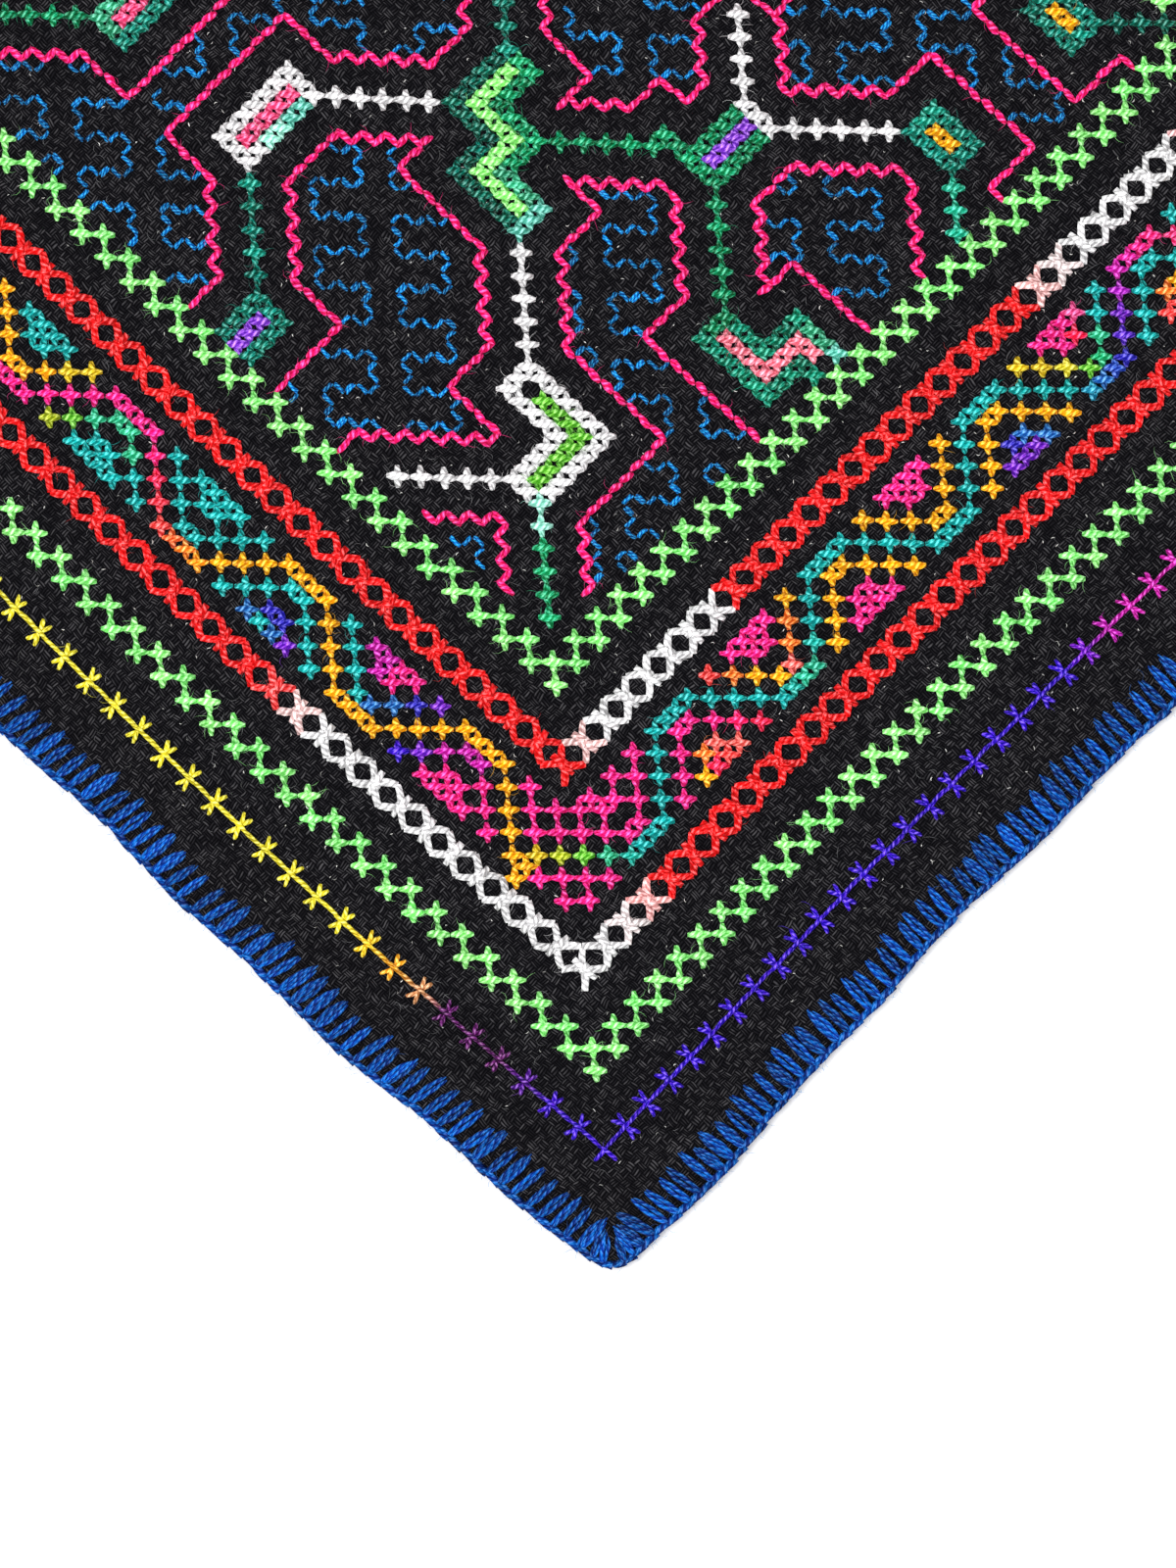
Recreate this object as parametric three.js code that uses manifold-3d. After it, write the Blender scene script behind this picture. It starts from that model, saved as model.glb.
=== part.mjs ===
// A square embroidered cloth lying flat: a black woven sheet, a blue yarn edging that is wrapped
// round all four edges, and the raised embroidery, band by band from the edge inwards.
// Millimetres, +Z up, X and Y along the cloth's edges, origin on the underside at the middle.
import * as THREE from 'three';
import { mergeVertices } from 'three/addons/utils/BufferGeometryUtils.js';
import Module from 'manifold-3d';

const wasm = await Module();
wasm.setup();

// The weave's grid: one cell is one cross stitch, and CELLS of them lie between the corner crosses
const CELL_X = 2.63;
const CELL_Y = 2.93;
const CELLS = 94;

// From the corner cross to the outer rim
const MARGIN_X = 25.9;
const MARGIN_Y = 27.7;
const WIDTH = CELLS * CELL_X + 2 * MARGIN_X;
const HEIGHT = CELLS * CELL_Y + 2 * MARGIN_Y;

// How unevenly the cloth lies: a little off square, with bowed sides and a wavering rim
const SKEW = Math.tan(THREE.MathUtils.degToRad(1.8));
const SIDE_BOW = 1.6;
const SIDE_SPREAD = 1.1;
const END_BOW = 0.9;
const RIM_WAVE = 0.7;

// Thicknesses and reaches
const SHEET = 1.2;
const YARN = 0.8;
const GAP = 0.3;
const CORNER_RADIUS = 6.5;
const EDGING_YARN = 0.7;
const EDGING_RIM = 1.3;
const EDGING_REACH = 8.5;
const LIFT = EDGING_YARN + GAP;
const LIFT_ENDS = 9.2;
const LIFT_STARTS = 15.5;

const INK = {
  black: 0x1c1b1e,
  blue: 0x1a50b8,
  violet: 0x5a28d2,
  magenta: 0xdc32aa,
  yellow: 0xf0e650,
  paleGreen: 0x82f082,
  red: 0xeb2328,
  white: 0xf5ebeb,
  teal: 0x1eaaa5,
  gold: 0xffb414,
  green: 0x146e55,
  pink: 0xff3278,
};

const model = new THREE.Group();

function addPiece(name, geometry, colour) {
  const material = new THREE.MeshStandardMaterial({ color: colour, roughness: 0.8, metalness: 0 });
  const mesh = new THREE.Mesh(geometry, material);
  mesh.name = name;
  model.add(mesh);
}

// The place on the table of a point given in stitch cells
function place(i, j) {
  const turn = 2 * Math.PI / 100;
  const bowX = 0.7 - SIDE_BOW * Math.cos(turn * (j - 20));
  const spreadX = SIDE_SPREAD * (i - 10) / 50 * Math.cos(turn * j);
  const bowY = END_BOW * Math.cos(turn * (i - 22)) - 0.4;
  const x = i * CELL_X - j * CELL_Y * SKEW + bowX + spreadX;
  const y = j * CELL_Y + bowY;
  return new THREE.Vector2(x, y);
}

// Every border side is the south one turned by quarters: s runs along it, d goes inwards, in cells
const SIDES = {
  south: (s, d) => [s, d],
  east: (s, d) => [CELLS - d, s],
  north: (s, d) => [CELLS - s, CELLS - d],
  west: (s, d) => [d, CELLS - s],
};

// The field's second half is its first half turned end for end
const asCharted = ([i, j]) => [i, j];
const turned = ([i, j]) => [CELLS - i, CELLS - j];

function slab(points, low, high) {
  const clockwise = THREE.ShapeUtils.isClockWise(points);
  const outline = clockwise ? points.slice().reverse() : points;
  const geometry = new THREE.ExtrudeGeometry(new THREE.Shape(outline), {
    depth: high - low,
    bevelEnabled: false,
  });
  geometry.translate(0, 0, low);
  return geometry;
}

function toSolid(geometry) {
  const bare = geometry.clone();
  bare.deleteAttribute('normal');
  bare.deleteAttribute('uv');
  const merged = mergeVertices(bare, 1e-4);
  return new wasm.Manifold(new wasm.Mesh({
    numProp: 3,
    vertProperties: merged.attributes.position.array,
    triVerts: Uint32Array.from(merged.index.array),
  }));
}

function joined(geometries) {
  let solid = toSolid(geometries[0]);
  for (const geometry of geometries.slice(1)) {
    solid = solid.add(toSolid(geometry));
  }
  const mesh = solid.getMesh();
  const result = new THREE.BufferGeometry();
  result.setAttribute('position', new THREE.BufferAttribute(mesh.vertProperties, 3));
  result.setIndex(new THREE.BufferAttribute(mesh.triVerts, 1));
  result.computeVertexNormals();
  return result;
}

// The rounded corner of the contour that lies near in from the rim, seen from the rim's corner
function roundCorner(x, y) {
  const near = Math.min(x, y);
  const far = Math.max(x, y);
  const radius = CORNER_RADIUS - near;
  if (radius <= 0 || far >= CORNER_RADIUS) {
    return [x, y];
  }
  const angle = Math.PI / 4 * (1 + (far - near) / radius);
  const small = CORNER_RADIUS - radius * Math.sin(angle);
  const large = CORNER_RADIUS - radius * Math.cos(angle);
  return x < y ? [small, large] : [large, small];
}

// A wavering of the rim, in or out, at a distance s along a side, dying away inwards
function waver(s, depth) {
  const wave = 0.6 * Math.sin(s / 6.2 + 1) + 0.4 * Math.sin(s / 14.5);
  return RIM_WAVE * wave * THREE.MathUtils.clamp(1 - depth / 30, 0, 1);
}

// The place of a point given in millimetres from the rim's first corner
function placeFromRim(x, y) {
  const fromLeft = x < WIDTH / 2;
  const fromBelow = y < HEIGHT / 2;
  const [dx, dy] = roundCorner(fromLeft ? x : WIDTH - x, fromBelow ? y : HEIGHT - y);
  const insetX = dx + waver(fromLeft ? y : y + 70, dx);
  const insetY = dy + waver(fromBelow ? x + 35 : x + 110, dy);
  const flatX = fromLeft ? insetX : WIDTH - insetX;
  const flatY = fromBelow ? insetY : HEIGHT - insetY;
  return place((flatX - MARGIN_X) / CELL_X, (flatY - MARGIN_Y) / CELL_Y);
}

// Distances along a side at which both the sheet and the edging have their vertices
const MIDDLE_STEPS = 15;

function middleStations(length) {
  const list = [];
  for (let k = 0; k <= MIDDLE_STEPS; k += 1) {
    list.push(LIFT_STARTS + (length - 2 * LIFT_STARTS) * k / MIDDLE_STEPS);
  }
  return list;
}

// The cloth: its outer lines lift over the edging's lower yarn and round the corners
const SHEET_INSETS = [EDGING_RIM + GAP, 3.2, 4.8, CORNER_RADIUS, LIFT_ENDS];

function clothSheet() {
  const columns = SHEET_INSETS.concat(
    middleStations(WIDTH),
    SHEET_INSETS.slice().reverse().map((d) => WIDTH - d),
  );
  const rows = SHEET_INSETS.concat(
    middleStations(HEIGHT),
    SHEET_INSETS.slice().reverse().map((d) => HEIGHT - d),
  );
  const across = columns.length - 1;
  const up = rows.length - 1;
  const geometry = new THREE.BoxGeometry(1, 1, 1, across, up, 1);
  const position = geometry.attributes.position;
  for (let k = 0; k < position.count; k += 1) {
    const x = columns[Math.round((position.getX(k) + 0.5) * across)];
    const y = rows[Math.round((position.getY(k) + 0.5) * up)];
    const depth = Math.min(x, WIDTH - x, y, HEIGHT - y);
    const lift = depth < (LIFT_ENDS + LIFT_STARTS) / 2 ? LIFT : 0;
    const point = placeFromRim(x, y);
    position.setXYZ(k, point.x, point.y, lift + (position.getZ(k) > 0 ? SHEET : 0));
  }
  return geometry;
}

// The edging of one side: a rim wall with a leg under the cloth and a leg over it, mitred at
// both ends so that two sides stay a gap apart
const CORNER_STEPS = 4;
const RIM_PLACES = {
  south: (s, d) => placeFromRim(s, d),
  east: (s, d) => placeFromRim(WIDTH - d, s),
  north: (s, d) => placeFromRim(s, HEIGHT - d),
  west: (s, d) => placeFromRim(d, s),
};

function contour(side, d) {
  const length = side === 'south' || side === 'north' ? WIDTH : HEIGHT;
  const turnEnds = Math.max(CORNER_RADIUS, d);
  const first = [];
  for (let k = 0; k < CORNER_STEPS && d < turnEnds; k += 1) {
    first.push(d + (turnEnds - d) * k / CORNER_STEPS);
  }
  first.push(turnEnds, LIFT_ENDS);
  first[0] += GAP * 0.75;
  const last = first.slice().reverse().map((s) => length - s);
  const stations = first.concat(middleStations(length), last);
  return stations.map((s) => RIM_PLACES[side](s, d));
}

function edging(side) {
  const rim = contour(side, 0);
  const wall = rim.concat(contour(side, EDGING_RIM).reverse());
  const leg = rim.concat(contour(side, EDGING_REACH).reverse());
  const top = LIFT + SHEET + GAP + EDGING_YARN;
  return joined([
    slab(wall, 0, top),
    slab(leg, 0, EDGING_YARN),
    slab(leg, top - EDGING_YARN, top),
  ]);
}

// Raised embroidery lies just above the sheet
const YARN_LOW = SHEET + GAP;
const YARN_HIGH = YARN_LOW + YARN;

// A straight border band between two rows, with mitred ends that keep clear of the next side's
const BAND_STEPS = 6;
const BAND_END = 0.12;

function borderBand(side, low, high) {
  const edge = (row) => {
    const start = row + BAND_END;
    const run = CELLS - 2 * start;
    const points = [];
    for (let k = 0; k <= BAND_STEPS; k += 1) {
      points.push(place(...SIDES[side](start + run * k / BAND_STEPS, row)));
    }
    return points;
  };
  return slab(edge(low).concat(edge(high).reverse()), YARN_LOW, YARN_HIGH);
}

// A strand of one width along a line of points, with mitred bends and square ends
function strand(points, width) {
  const left = [];
  const right = [];
  for (let k = 0; k < points.length; k += 1) {
    const before = points[Math.max(k - 1, 0)];
    const after = points[Math.min(k + 1, points.length - 1)];
    const come = points[k].clone().sub(before);
    const go = after.clone().sub(points[k]);
    const first = (k > 0 ? come : go).clone().normalize();
    const second = (k < points.length - 1 ? go : come).clone().normalize();
    const normal = new THREE.Vector2(-first.y - second.y, first.x + second.x).normalize();
    const cosine = normal.dot(new THREE.Vector2(-first.y, first.x));
    const offset = normal.multiplyScalar(width / 2 / cosine);
    left.push(points[k].clone().add(offset));
    right.push(points[k].clone().sub(offset));
  }
  return slab(left.concat(right.reverse()), YARN_LOW, YARN_HIGH);
}

// The vine swings between an outer and an inner row
const VINE_OUTER = 7;
const VINE_INNER = 11;
const VINE_REPEAT = 14;
const VINE_REPEATS = 5;
const VINE_WIDTH = 1.8;

function vine(side) {
  const list = [[8, VINE_INNER]];
  for (let k = 0; k < VINE_REPEATS; k += 1) {
    const s = 12 + VINE_REPEAT * k;
    list.push([s, VINE_OUTER], [s + 3, VINE_OUTER], [s + 7, VINE_INNER], [s + 10, VINE_INNER]);
  }
  list.push([82, VINE_OUTER]);
  return strand(list.map(([s, d]) => place(...SIDES[side](s, d))), VINE_WIDTH);
}

// The field's pink lines by their bends in cells, the stairs drawn straight
const LINE_WIDTH = 1.1;

const HOOK_UPPER = [[19.2, 40.5], [24.5, 40.5], [24.5, 44.5], [28.5, 48.5], [33.5, 48.5],
  [36.5, 45.5], [36.5, 44.5]];
const HOOK_LOWER = [[19.2, 35.5], [20.5, 35.5], [25.5, 30.5], [25.5, 29.5], [26.5, 29.5],
  [26.5, 33.5], [30.5, 33.5], [34.5, 37.5], [34.5, 44.5], [37.5, 44.5]];
const ARROW = [[19.5, 29.5], [22.5, 26.5], [22.5, 25.5], [19.5, 22.5]];
const HOUSE = [[22.5, 19.5], [25.5, 22.5], [33.5, 22.5], [33.5, 30.5], [37.5, 34.5],
  [41.5, 34.5], [41.5, 36.5], [44.5, 33.5], [45.5, 33.5], [45.5, 31.5], [41.5, 27.5],
  [37.5, 27.5], [37.5, 19.2]];
const HOUSE_SPUR = [[41.5, 36], [41.5, 37.5]];
const BELL = [[47.5, 19.2], [47.5, 24.5], [45.5, 24.5], [45.5, 25.5], [48.5, 28.5],
  [52.5, 28.5], [56.5, 24.5], [56.5, 22.5], [53.2, 19.2]];
const BELL_SPUR = [[46, 24.5], [44.5, 24.5]];

// The long net: from the right rim through the middle, and round the tall bays beside it
const NET_SPINE = [[44.5, 40.5], [47.5, 40.5], [47.5, 44.5], [48.5, 44.5], [48.5, 45.5],
  [49.5, 45.5], [49.5, 46.5], [53.5, 46.5], [57.5, 42.5], [57.5, 38.5], [68.5, 38.5],
  [68.5, 42.5], [72.5, 46.5], [74.8, 46.5]];
const NET_BRANCH = [[45.5, 40.5], [47.5, 38.5], [47.5, 37.5], [50.5, 37.5], [50.5, 35.5],
  [52.5, 35.5], [55.5, 38.5], [58.5, 38.5], [58.5, 35.5]];
const NET_SOUTH_BAY = [[59.5, 19.2], [63.5, 19.5], [63.5, 27.5], [59.5, 27.5], [55.5, 31.5],
  [55.5, 32.5], [58.5, 35.5], [68.5, 35.5], [68.5, 31.5], [72.5, 27.5], [67.5, 27.5],
  [67.5, 19.5], [71.5, 19.2]];
const NET_NORTH_BAY = [[19.2, 68.5], [19.5, 68.5], [25.5, 62.5], [25.5, 58.5], [35.5, 58.5],
  [38.5, 61.5], [38.5, 62.5], [34.5, 66.5], [30.5, 66.5], [30.5, 74.5], [34.5, 74.8]];
const NET_NORTH_LOOP = [[22.5, 74.8], [26.5, 74.5], [26.5, 66.5], [31, 66.5]];
const NET_NORTH_STEP = [[35.5, 58.5], [38.5, 55.5]];

function lines(turn, lists) {
  const strands = lists.map((list) => (
    strand(list.map((point) => place(...turn(point))), LINE_WIDTH)
  ));
  return strands.length === 1 ? strands[0] : joined(strands);
}

// Solid stepped motifs by their outlines in cells
const STEP_HOOK = [[24.5, 24.5], [31.5, 24.5], [31.5, 31.5], [28.5, 31.5], [28.5, 27.5],
  [24.5, 27.5]];
const STEP_STAIR = [[36.5, 36.5], [39.5, 36.5], [39.5, 39.5], [42.5, 39.5], [42.5, 42.5],
  [45.5, 42.5], [45.5, 45.5], [39.5, 45.5], [39.5, 42.5], [36.5, 42.5]];
const STEP_GATE = [[46.5, 34.5], [47.5, 34.5], [47.5, 30.5], [53.5, 30.5], [53.5, 33.5],
  [48.5, 33.5], [48.5, 35.5], [46.5, 35.5]];
const STEP_FOOT = [[39.5, 19.5], [45.5, 19.5], [45.5, 22.5], [42.5, 22.5], [42.5, 25.5],
  [39.5, 25.5]];
const BAR_LONG = [[27.5, 50.5], [34.5, 50.5], [34.5, 53.5], [27.5, 53.5]];
const BAR_SHORT = [[18.9, 42.5], [22.5, 42.5], [22.5, 45.5], [18.9, 45.5]];
const EYE_SOUTH = [[58.5, 21.5], [61.5, 21.5], [61.5, 25.5], [58.5, 25.5]];
const EYE_CORNER = [[69.5, 21.5], [72.5, 21.5], [72.5, 25.5], [69.5, 25.5]];
const BAR_NORTH = [[27.5, 60.5], [34.5, 60.5], [34.5, 63.5], [27.5, 63.5]];

// Chains of crosses that tie the motifs together, by their two ends in cells
const CHAIN_WIDTH = 1.8;
const CHAINS = [
  [[20, 32], [25.3, 26.7]],
  [[20, 20], [25.3, 25.3]],
  [[31, 31], [37.3, 37.3]],
  [[42, 40], [47.5, 34.5]],
  [[40, 45], [34, 51]],
  [[28, 51], [22, 45]],
  [[48, 31], [42, 25]],
  [[53, 31], [59, 25]],
  [[59, 22], [56.4, 19.4]],
];
const MIDDLE_CHAIN = [[45, 45], [48.2, 48.2]];
const LONG_GATE_CHAIN = [[53, 33], [57.4, 37.4]];
const SHORT_GATE_CHAIN = [[53, 33], [55.3, 35.3]];
const CORNER_CHAIN = [[72, 22], [74.6, 19.4]];
const NORTH_BAR_CHAIN = [[28, 63], [23.5, 67.5]];

function motifs(turn, outlines, chains) {
  const blocks = outlines.map((outline) => (
    slab(outline.map((point) => place(...turn(point))), YARN_LOW, YARN_HIGH)
  ));
  const ties = chains.map((ends) => (
    strand(ends.map((point) => place(...turn(point))), CHAIN_WIDTH)
  ));
  return joined(blocks.concat(ties));
}

// The pieces
addPiece('cloth', clothSheet(), INK.black);

const BANDS = [
  { name: 'stem', low: -3.75, high: -3.25 },
  { name: 'zigzag_outer', low: -0.45, high: 1.45 },
  { name: 'crosses_outer', low: 3.5, high: 5.5 },
  { name: 'crosses_inner', low: 12.5, high: 14.5 },
  { name: 'zigzag_inner', low: 16.55, high: 18.45 },
];
const BAND_INKS = {
  south: [INK.violet, INK.paleGreen, INK.red, INK.red, INK.paleGreen],
  east: [INK.magenta, INK.paleGreen, INK.red, INK.red, INK.paleGreen],
  north: [INK.violet, INK.paleGreen, INK.red, INK.red, INK.paleGreen],
  west: [INK.yellow, INK.paleGreen, INK.white, INK.red, INK.paleGreen],
};

for (const side of Object.keys(SIDES)) {
  const lies = side === 'south' || side === 'north';
  addPiece(`edging_${side}`, edging(side), INK.blue);
  BANDS.forEach((band, k) => {
    addPiece(`${band.name}_${side}`, borderBand(side, band.low, band.high), BAND_INKS[side][k]);
  });
  addPiece(`vine_${side}`, vine(side), lies ? INK.teal : INK.gold);
}

for (const [half, turn] of [['a', asCharted], ['b', turned]]) {
  addPiece(`line_hook_${half}`, lines(turn, [HOOK_UPPER, HOOK_LOWER]), INK.pink);
  addPiece(`line_arrow_${half}`, lines(turn, [ARROW]), INK.pink);
  addPiece(`line_house_${half}`, lines(turn, [HOUSE, HOUSE_SPUR]), INK.pink);
  addPiece(`line_bell_${half}`, lines(turn, [BELL, BELL_SPUR]), INK.pink);
}
addPiece('line_net_a', joined([
  lines(asCharted, [NET_SPINE, NET_BRANCH]),
  lines(asCharted, [NET_SOUTH_BAY]),
]), INK.pink);
addPiece('line_net_b', joined([
  lines(turned, [NET_SPINE, NET_BRANCH.slice(0, 7)]),
  lines(asCharted, [NET_NORTH_BAY, NET_NORTH_LOOP, NET_NORTH_STEP]),
]), INK.pink);

const SHARED_STEPS = [STEP_HOOK, STEP_STAIR, STEP_GATE, STEP_FOOT, BAR_LONG, BAR_SHORT, EYE_SOUTH];
addPiece('motifs_a', motifs(
  asCharted,
  SHARED_STEPS,
  CHAINS.concat([MIDDLE_CHAIN, LONG_GATE_CHAIN]),
), INK.green);
addPiece('motifs_b', motifs(turned, SHARED_STEPS, CHAINS.concat([SHORT_GATE_CHAIN])), INK.green);
addPiece('motif_corner_a', motifs(asCharted, [EYE_CORNER], [CORNER_CHAIN]), INK.green);
addPiece('motif_corner_b', motifs(turned, [EYE_CORNER], [CORNER_CHAIN]), INK.green);
addPiece('motif_bar_b', motifs(asCharted, [BAR_NORTH], [NORTH_BAR_CHAIN]), INK.teal);

// The origin stands under the middle of the whole piece
const bounds = new THREE.Box3().setFromObject(model);
const centre = bounds.getCenter(new THREE.Vector3());
for (const mesh of model.children) {
  mesh.geometry.translate(-centre.x, -centre.y, -bounds.min.z);
}

export default model;
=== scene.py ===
# An embroidered cloth lying flat: coarse black weave, yarn embroidery worked stitch by stitch on
# the weave's grid, and a blue blanket-stitched edge.
import math
import random
import re

import bpy
import numpy as np
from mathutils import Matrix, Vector


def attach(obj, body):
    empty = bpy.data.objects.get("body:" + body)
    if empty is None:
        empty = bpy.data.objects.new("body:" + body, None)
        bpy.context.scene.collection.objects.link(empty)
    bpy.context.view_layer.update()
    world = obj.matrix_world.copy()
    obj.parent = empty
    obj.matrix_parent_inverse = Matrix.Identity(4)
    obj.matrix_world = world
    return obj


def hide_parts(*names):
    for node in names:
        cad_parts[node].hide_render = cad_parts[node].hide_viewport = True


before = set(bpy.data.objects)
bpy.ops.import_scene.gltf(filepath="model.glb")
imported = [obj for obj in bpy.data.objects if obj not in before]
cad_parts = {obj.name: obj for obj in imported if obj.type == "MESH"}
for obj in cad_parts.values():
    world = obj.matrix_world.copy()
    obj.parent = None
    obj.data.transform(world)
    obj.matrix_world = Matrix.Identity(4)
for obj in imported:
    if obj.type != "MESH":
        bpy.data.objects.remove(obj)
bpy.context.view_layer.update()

MM = 0.001
random.seed(41)
UNEVEN = np.random.default_rng(7)

# The weave's grid in millimetres: one cell is one cross stitch
CELL_X = 2.63
CELL_Y = 2.93
CELLS = 94
MARGIN_X = 25.9
MARGIN_Y = 27.7
WIDTH = CELLS * CELL_X + 2 * MARGIN_X
HEIGHT = CELLS * CELL_Y + 2 * MARGIN_Y

# How the cloth is out of true: bows in millimetres, and where they peak and repeat in cells
SKEW = math.tan(math.radians(1.8))
BOW_PERIOD = 100
SIDE_BOW = 1.6
SIDE_BOW_PEAK = 20
SIDE_SPREAD = 1.1
SPREAD_MIDDLE = 10
END_BOW = 0.9
END_BOW_PEAK = 22
RIM_WAVE = 0.7
WAVE_FADES = 30
# The rim's two waves: share, millimetres to a radian, and start. Each side starts further on
WAVES = ((0.6, 6.2, 1), (0.4, 14.5, 0))
WAVE_START = {"west": 0, "east": 70, "south": 35, "north": 110}
CORNER_RADIUS = 6.5
RIM_SAMPLES = 400

# The sheet's thickness and inset, and how its border is lifted, by depth from the rim
SHEET = 1.2
CLOTH_INSET = 1.6
LIFT = 1.0
LIFT_ENDS = 9.2
LIFT_STARTS = 15.5

# Photograph framing: its middle in cells, its height in millimetres and the cloth's turn in it
VIEW_CELL = (13.61, 11.68)
VIEW_HEIGHT = 266.7
VIEW_TURN = 45.84
LENS = 300


# Where things lie

def raw_place(i, j):
    """A point of the grid in millimetres, on a cloth that is bowed and out of square."""
    turn = 2 * math.pi / BOW_PERIOD
    bow_x = SIDE_BOW * math.cos(turn * (j - SIDE_BOW_PEAK))
    spread = SIDE_SPREAD * (i - SPREAD_MIDDLE) / (BOW_PERIOD / 2) * math.cos(turn * j)
    bow_y = END_BOW * math.cos(turn * (i - END_BOW_PEAK))
    x = i * CELL_X - j * CELL_Y * SKEW - bow_x + spread
    return x, j * CELL_Y + bow_y


def round_corner(x, y):
    """Moves a point near a square corner onto the rounded one, by arcs about its centre."""
    near, far = min(x, y), max(x, y)
    radius = CORNER_RADIUS - near
    if radius <= 0 or far >= CORNER_RADIUS:
        return x, y
    angle = math.pi / 4 * (1 + (far - near) / radius)
    small = CORNER_RADIUS - radius * math.sin(angle)
    large = CORNER_RADIUS - radius * math.cos(angle)
    return (small, large) if x < y else (large, small)


def waver(s, depth):
    """The rim's unevenness at s along it, fading inwards."""
    wave = sum(share * math.sin(s / length + start) for share, length, start in WAVES)
    return RIM_WAVE * wave * min(max(1 - depth / WAVE_FADES, 0), 1)


def rim_cell(x, y):
    """The cell coordinates of a point given in millimetres from the rim's first corner."""
    left, below = x < WIDTH / 2, y < HEIGHT / 2
    dx, dy = round_corner(x if left else WIDTH - x, y if below else HEIGHT - y)
    dx += waver(y + WAVE_START["west" if left else "east"], dx)
    dy += waver(x + WAVE_START["south" if below else "north"], dy)
    flat_x = dx if left else WIDTH - dx
    flat_y = dy if below else HEIGHT - dy
    return (flat_x - MARGIN_X) / CELL_X, (flat_y - MARGIN_Y) / CELL_Y


def rim_box_centre():
    steps = [k / RIM_SAMPLES for k in range(RIM_SAMPLES + 1)]
    points = []
    for t in steps:
        for x, y in ((t * WIDTH, 0), (t * WIDTH, HEIGHT), (0, t * HEIGHT), (WIDTH, t * HEIGHT)):
            points.append(raw_place(*rim_cell(x, y)))
    xs, ys = zip(*points)
    return (min(xs) + max(xs)) / 2, (min(ys) + max(ys)) / 2


CENTRE = rim_box_centre()


def place(i, j):
    x, y = raw_place(i, j)
    return x - CENTRE[0], y - CENTRE[1]


def edge_depth(i, j):
    x = i * CELL_X + MARGIN_X
    y = j * CELL_Y + MARGIN_Y
    return min(x, WIDTH - x, y, HEIGHT - y)


def lift_at(i, j):
    """How far the cloth rises here over the yarn that is wrapped round beneath its border."""
    share = (LIFT_STARTS - edge_depth(i, j)) / (LIFT_STARTS - LIFT_ENDS)
    share = min(max(share, 0), 1)
    return LIFT * share * share * (3 - 2 * share)


# Yarn colours, as they show on a screen

INKS = {
    "pink": (252, 46, 140), "hot": (255, 56, 160), "blue": (14, 150, 220),
    "dark green": (12, 146, 119), "green": (50, 185, 130), "mint": (180, 245, 226),
    "white": (240, 239, 240), "blush": (255, 220, 218), "teal": (34, 188, 185),
    "gold": (255, 190, 30), "yellow": (250, 238, 84), "olive": (190, 205, 58),
    "purple": (140, 60, 210), "violet": (80, 36, 208), "plum": (112, 40, 115),
    "magenta": (215, 50, 185), "salmon": (255, 132, 125), "orange": (255, 150, 70),
    "peach": (248, 190, 130), "lime": (174, 254, 154), "leaf": (128, 205, 78),
    "pale green": (180, 254, 162), "red": (252, 48, 51), "royal": (2, 94, 182),
    "indigo": (76, 70, 205), "rose": (255, 112, 175), "sea": (75, 205, 160),
    "azure": (62, 132, 200), "cerise": (255, 58, 108), "coral": (255, 98, 96),
    "mustard": (234, 206, 52), "spring": (116, 232, 126),
    "bottle": (8, 108, 94), "emerald": (18, 160, 110), "pine": (12, 142, 126),
    "jade": (85, 192, 152), "aqua": (124, 212, 194), "lagoon": (45, 180, 152),
    "lilac": (165, 95, 228), "flamingo": (255, 108, 158), "blossom": (255, 150, 168),
}


def linear(name):
    """An ink's colour in linear light, as the materials take it."""
    out = []
    for part in INKS[name]:
        value = part / 255
        out.append(value / 12.92 if value <= 0.04045 else ((value + 0.055) / 1.055) ** 2.4)
    return np.array(out)


def blend(table, q):
    """The colour at q in a short table of (q, ink) rows."""
    if q <= table[0][0]:
        return linear(table[0][1])
    for (q0, ink0), (q1, ink1) in zip(table, table[1:]):
        if q <= q1:
            t = (q - q0) / max(q1 - q0, 1e-6)
            return linear(ink0) * (1 - t) + linear(ink1) * t
    return linear(table[-1][1])


# One strand of yarn, modelled once along X from 0 to 1 with a radius of 1

def deselect():
    if bpy.context.object and bpy.context.object.mode != "OBJECT":
        bpy.ops.object.mode_set(mode="OBJECT")
    bpy.ops.object.select_all(action="DESELECT")


def model_strand(sides, scales):
    """A round bar cut into rings, each ring sized by its own scale from end to end."""
    parts = len(scales) - 1
    deselect()
    bpy.ops.mesh.primitive_cylinder_add(vertices=sides, radius=1, depth=1, location=(0, 0, 0))
    strand = bpy.context.object
    bpy.ops.object.mode_set(mode="EDIT")
    for k in range(1, parts):
        bpy.ops.mesh.select_all(action="SELECT")
        bpy.ops.mesh.bisect(plane_co=(0, 0, k / parts - 0.5), plane_no=(0, 0, 1))
    for k, scale in enumerate(scales):
        bpy.ops.mesh.select_all(action="DESELECT")
        bpy.ops.object.mode_set(mode="OBJECT")
        for vertex in strand.data.vertices:
            vertex.select = abs(vertex.co.z + 0.5 - k / parts) < 0.01
        bpy.ops.object.mode_set(mode="EDIT")
        bpy.ops.transform.resize(value=(scale, scale, 1))
    bpy.ops.mesh.select_all(action="SELECT")
    bpy.ops.mesh.normals_make_consistent(inside=False)
    bpy.ops.object.mode_set(mode="OBJECT")
    points = np.array([v.co for v in strand.data.vertices])
    along = points[:, 2] + 0.5
    faces = [tuple(p.vertices) for p in strand.data.polygons]
    bpy.data.objects.remove(strand)
    return {"along": along, "across": points[:, 0], "up": points[:, 1], "faces": faces,
            "ring": np.rint(along * parts).astype(int)}


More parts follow.
